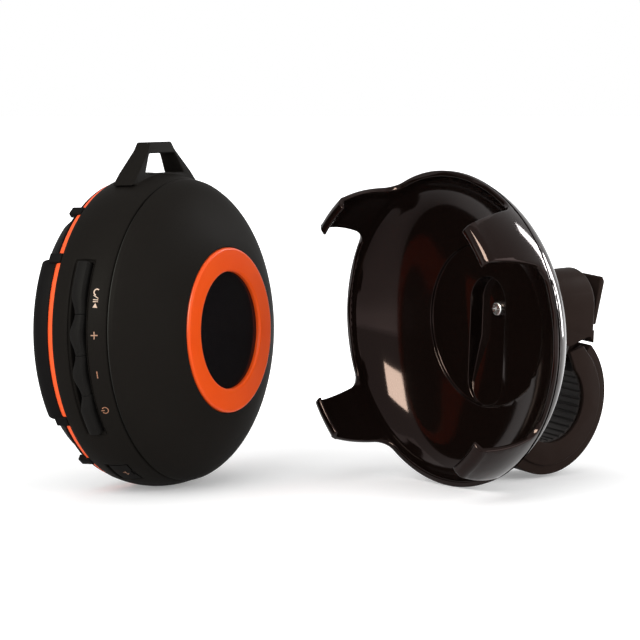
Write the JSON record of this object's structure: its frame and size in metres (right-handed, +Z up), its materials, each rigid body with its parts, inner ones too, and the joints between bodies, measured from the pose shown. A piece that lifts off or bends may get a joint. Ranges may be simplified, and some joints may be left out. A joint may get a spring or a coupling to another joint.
{
  "type": "portable shower speaker with bar clamp cradle",
  "caption": "Round splash-proof speaker with a hanging loop, side keys and an orange rear ring, beside the clawed cradle that clamps it to a rail.",
  "frame": {"origin": "ground plane under the middle of the bounding box of the pair", "axes": "+X from the speaker to the cradle, +Y away from the viewer, +Z up"},
  "size_m": [0.1776, 0.0984, 0.1069],
  "materials": {
    "soft_black": "soft-touch, fine matte",
    "gloss_black": "high gloss",
    "orange": "satin",
    "rubber_black": "matte",
    "grille_black": "matte black",
    "mesh": "fine weave",
    "board_green": "solder mask",
    "switch_grey": "plain",
    "steel": "bright",
    "cone_grey": "pressed",
    "copper": "wound wire",
    "brass": "turned",
    "cell_grey": "foil",
    "gloss_brown_black": "high gloss",
    "clamp_brown": "fine matte",
    "pad_rubber": "ribbed"
  },
  "bodies": {
    "speaker": {"rim_band": "soft_black", "rear_shell": "soft_black", "seam_gasket": "rubber_black", "rear_ring": "orange", "rear_plate": "gloss_black", "front_trim_ring": "orange", "front_bezel": "soft_black", "grille": "grille_black", "acoustic_mesh": "mesh", "key_board": "board_green", "key_switches": "switch_grey", "usb_socket": "steel", "driver_basket": "grille_black", "driver_surround": "rubber_black", "driver_yoke": "steel", "driver_magnet": "steel", "housing_screws": "steel", "driver_screws": "steel", "main_board": "board_green", "board_screws": "steel", "battery": "cell_grey"},
    "key_play": {"key_play": "rubber_black"},
    "key_volume_up": {"key_volume_up": "rubber_black"},
    "key_volume_down": {"key_volume_down": "rubber_black"},
    "key_power": {"key_power": "rubber_black"},
    "cone": {"driver_cone": "cone_grey", "voice_coil": "copper"},
    "flap": {"port_flap": "rubber_black"},
    "cradle": {"cradle_bowl": "gloss_brown_black"},
    "clamp": {"swivel_screw": "steel", "friction_washer": "switch_grey", "swivel_nut": "brass", "clamp_body": "clamp_brown", "upper_pad": "pad_rubber", "jaw_pin": "steel", "jaw_spring": "steel"},
    "jaw": {"lower_jaw": "clamp_brown", "lower_pad": "pad_rubber"}
  },
  "joints": [
    {"name": "key_play_press", "type": "slide", "parent": "speaker", "child": "key_play", "axis": [0.4552, 0.8416, -0.2905], "range_m": [0, 0.0004], "stiffness_N_per_m": 1000, "springref_m": -0.0003},
    {"name": "key_volume_up_press", "type": "slide", "parent": "speaker", "child": "key_volume_up", "axis": [0.4673, 0.8829, -0.0453], "range_m": [0, 0.0004], "stiffness_N_per_m": 1000, "springref_m": -0.0003},
    {"name": "key_volume_down_press", "type": "slide", "parent": "speaker", "child": "key_volume_down", "axis": [0.4504, 0.8695, 0.2027], "range_m": [0, 0.0004], "stiffness_N_per_m": 1000, "springref_m": -0.0003},
    {"name": "key_power_press", "type": "slide", "parent": "speaker", "child": "key_power", "axis": [0.4057, 0.8022, 0.4381], "range_m": [0, 0.0004], "stiffness_N_per_m": 1000, "springref_m": -0.0003},
    {"name": "cone_stroke", "type": "slide", "parent": "speaker", "child": "cone", "axis": [-0.884, 0.4661, -0.0349], "range_m": [-0.001, 0.001], "stiffness_N_per_m": 2000},
    {"name": "flap_hinge", "type": "hinge", "parent": "speaker", "child": "flap", "pos_m": [-0.06464, -0.0196, 0.00804], "axis": [0.4164, 0.7515, -0.5117], "range_deg": [0, 75]},
    {"name": "cradle_lift", "type": "slide", "parent": "speaker", "child": "cradle", "axis": [0, 0, 1], "range_m": [0, 0.12]},
    {"name": "clamp_swivel", "type": "hinge", "parent": "cradle", "child": "clamp", "pos_m": [0.05543, 0.01093, 0.05458], "axis": [-0.7821, -0.6221, -0.0349], "range_deg": [-90, 90]},
    {"name": "jaw_hinge", "type": "hinge", "parent": "clamp", "child": "jaw", "pos_m": [0.07418, 0.02655, 0.04925], "axis": [0.6225, -0.7776, -0.0888], "range_deg": [0, 13], "stiffness_Nm_per_rad": 0.3, "springref_deg": -11.46}
  ]
}
